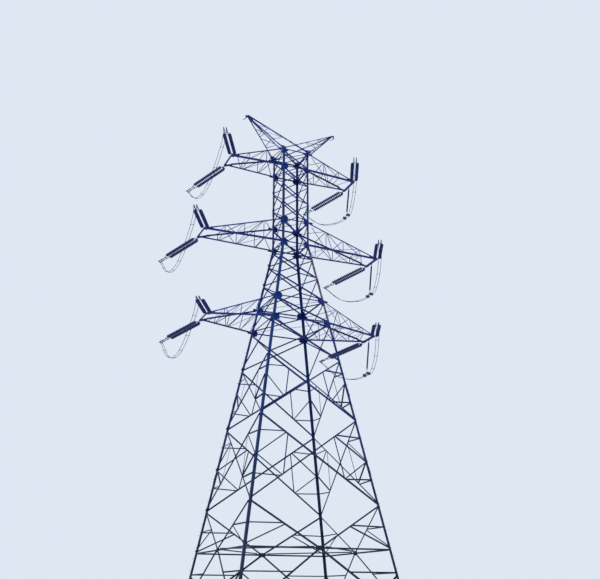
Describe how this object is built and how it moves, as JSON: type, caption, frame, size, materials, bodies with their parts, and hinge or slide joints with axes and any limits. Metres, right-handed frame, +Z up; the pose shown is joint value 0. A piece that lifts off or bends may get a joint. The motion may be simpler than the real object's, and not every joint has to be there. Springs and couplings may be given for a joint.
{
  "type": "lattice transmission tower",
  "caption": "Square tapering steel lattice tower with paired cross-arms, horned earth-wire peaks, twin tension insulator strings and sagging jumper loops.",
  "frame": {"origin": "on the tower's axis, at the underside of the four base plates", "axes": "+Z up along the tower's axis; X along the cross-arms, with the line turning towards -X; -Y is the front"},
  "size_m": [17.1312, 12.4992, 39.3649],
  "materials": {
    "leg_steel": "hot-dip galvanised rolled steel, weathered to a dark blue-grey",
    "foot_steel": "hot-dip galvanised plate, dull",
    "body_steel": "hot-dip galvanised rolled steel, weathered to a dark blue-grey",
    "cage_steel": "hot-dip galvanised rolled steel, weathered to a dark blue-grey",
    "arm_steel": "hot-dip galvanised rolled steel, weathered to a dark blue-grey",
    "peak_steel": "hot-dip galvanised rolled steel, paler and less weathered",
    "porcelain": "dark slate glazed porcelain discs with grey metal caps, and dark rod insulators",
    "fitting_steel": "hot-dip galvanised forged and cast fittings",
    "conductor": "dull stranded aluminium"
  },
  "bodies": {
    "root": {"arm_left_lower": "arm_steel", "arm_left_middle": "arm_steel", "arm_left_upper": "arm_steel", "arm_right_lower": "arm_steel", "arm_right_middle": "arm_steel", "arm_right_upper": "arm_steel", "base_plates": "foot_steel", "belt_ring": "body_steel", "body_bracing_back": "body_steel", "body_bracing_front": "body_steel", "body_bracing_left": "body_steel", "body_bracing_right": "body_steel", "cage_bracing_back": "cage_steel", "cage_bracing_front": "cage_steel", "cage_bracing_left": "cage_steel", "cage_bracing_right": "cage_steel", "floor_frames": "cage_steel", "insulators_left_lower": "porcelain", "insulators_left_middle": "porcelain", "insulators_left_upper": "porcelain", "insulators_right_lower": "porcelain", "insulators_right_middle": "porcelain", "insulators_right_upper": "porcelain", "jumper_left_lower_inner": "conductor", "jumper_left_lower_outer": "conductor", "jumper_left_middle_inner": "conductor", "jumper_left_middle_outer": "conductor", "jumper_left_upper_inner": "conductor", "jumper_left_upper_outer": "conductor", "jumper_right_lower_inner": "conductor", "jumper_right_lower_outer": "conductor", "jumper_right_middle_inner": "conductor", "jumper_right_middle_outer": "conductor", "jumper_right_upper_inner": "conductor", "jumper_right_upper_outer": "conductor", "leg_back_left": "leg_steel", "leg_back_right": "leg_steel", "leg_front_left": "leg_steel", "leg_front_right": "leg_steel", "neck_bracing_back": "cage_steel", "neck_bracing_front": "cage_steel", "neck_bracing_left": "cage_steel", "neck_bracing_right": "cage_steel", "peak_left": "peak_steel", "peak_right": "peak_steel", "splay_bracing_back_left": "body_steel", "splay_bracing_back_right": "body_steel", "splay_bracing_front_left": "body_steel", "splay_bracing_front_right": "body_steel", "string_fittings_left_lower": "fitting_steel", "string_fittings_left_middle": "fitting_steel", "string_fittings_left_upper": "fitting_steel", "string_fittings_right_lower": "fitting_steel", "string_fittings_right_middle": "fitting_steel", "string_fittings_right_upper": "fitting_steel"}
  },
  "joints": []
}
